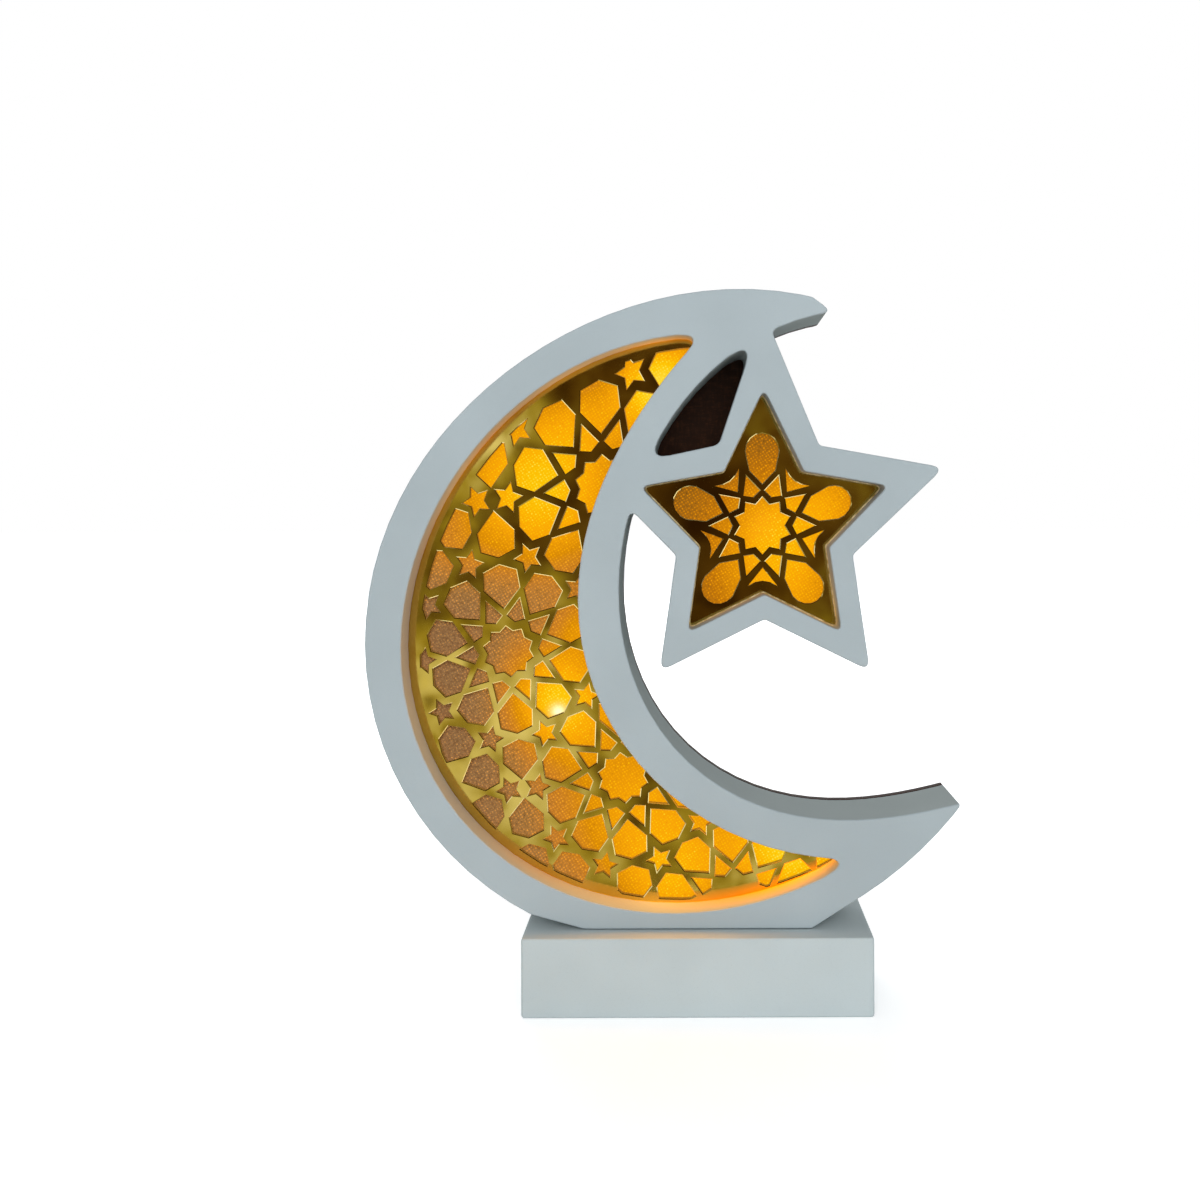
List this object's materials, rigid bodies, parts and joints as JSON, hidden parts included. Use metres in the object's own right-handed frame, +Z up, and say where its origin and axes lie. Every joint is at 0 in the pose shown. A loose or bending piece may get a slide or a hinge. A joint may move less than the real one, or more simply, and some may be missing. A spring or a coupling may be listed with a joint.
{
  "type": "star and moon led sign",
  "caption": "Crescent moon and star table sign with lit gold fretwork windows on a block base, and a battery box with slide switch behind.",
  "frame": {"origin": "middle of the base block's underside", "axes": "+Z up, the lit face towards -Y, +X to the right of the face"},
  "size_m": [0.1938, 0.0547, 0.2342],
  "materials": {
    "painted_board": "light grey matt paint on fibreboard",
    "painted_base": "light grey matt paint on fibreboard",
    "dark_hardboard": "dark brown hardboard",
    "gold_mirror": "gold mirror acrylic, cut edges bright",
    "lit_weave": "translucent sheet with a fine woven grain, lit amber from behind",
    "zinc_steel": "zinc plated",
    "lamp_resin": "clear resin drop",
    "enamelled_wire": "enamelled copper wire",
    "box_plastic": "moulded, fine grain",
    "cell_jacket": "printed jacket without lettering",
    "nickel_contact": "nickel plated",
    "switch_body": "moulded black",
    "switch_knob": "moulded black",
    "lead_sleeve": "clear to ivory sleeve"
  },
  "bodies": {
    "sign": {"back_board": "dark_hardboard", "back_board_screw_1": "zinc_steel", "back_board_screw_2": "zinc_steel", "back_board_screw_3": "zinc_steel", "back_board_screw_4": "zinc_steel", "back_board_screw_5": "zinc_steel", "back_board_screw_6": "zinc_steel", "back_board_screw_7": "zinc_steel", "back_board_screw_8": "zinc_steel", "back_board_screw_9": "zinc_steel", "base_block": "painted_base", "base_screw_1": "zinc_steel", "base_screw_2": "zinc_steel", "battery_box": "box_plastic", "battery_box_screw_1": "zinc_steel", "battery_box_screw_2": "zinc_steel", "battery_cell_1": "cell_jacket", "battery_cell_2": "cell_jacket", "contact_plate_1": "nickel_contact", "contact_plate_2": "nickel_contact", "contact_spring_1": "nickel_contact", "contact_spring_2": "nickel_contact", "moon_diffuser": "lit_weave", "moon_fret_panel": "gold_mirror", "moon_lamp_1": "lamp_resin", "moon_lamp_2": "lamp_resin", "moon_lamp_3": "lamp_resin", "moon_lamp_4": "lamp_resin", "moon_lamp_5": "lamp_resin", "moon_lamp_6": "lamp_resin", "moon_lamp_7": "lamp_resin", "moon_lamp_8": "lamp_resin", "moon_lamp_wire": "enamelled_wire", "moon_star_board": "painted_board", "star_diffuser": "lit_weave", "star_fret_panel": "gold_mirror", "star_lamp_1": "lamp_resin", "star_lamp_2": "lamp_resin", "star_lamp_3": "lamp_resin", "star_lamp_4": "lamp_resin", "star_lamp_5": "lamp_resin", "star_lamp_wire": "enamelled_wire", "supply_lead": "lead_sleeve", "switch_body": "switch_body"},
    "door": {"battery_door": "box_plastic"},
    "slider": {"switch_slider": "switch_knob"}
  },
  "joints": [
    {"name": "door_slide", "type": "slide", "parent": "sign", "child": "door", "axis": [-1, 0, 0], "range_m": [0, 0.045]},
    {"name": "switch_slide", "type": "slide", "parent": "sign", "child": "slider", "axis": [0, 0, -1], "range_m": [0, 0.002]}
  ]
}
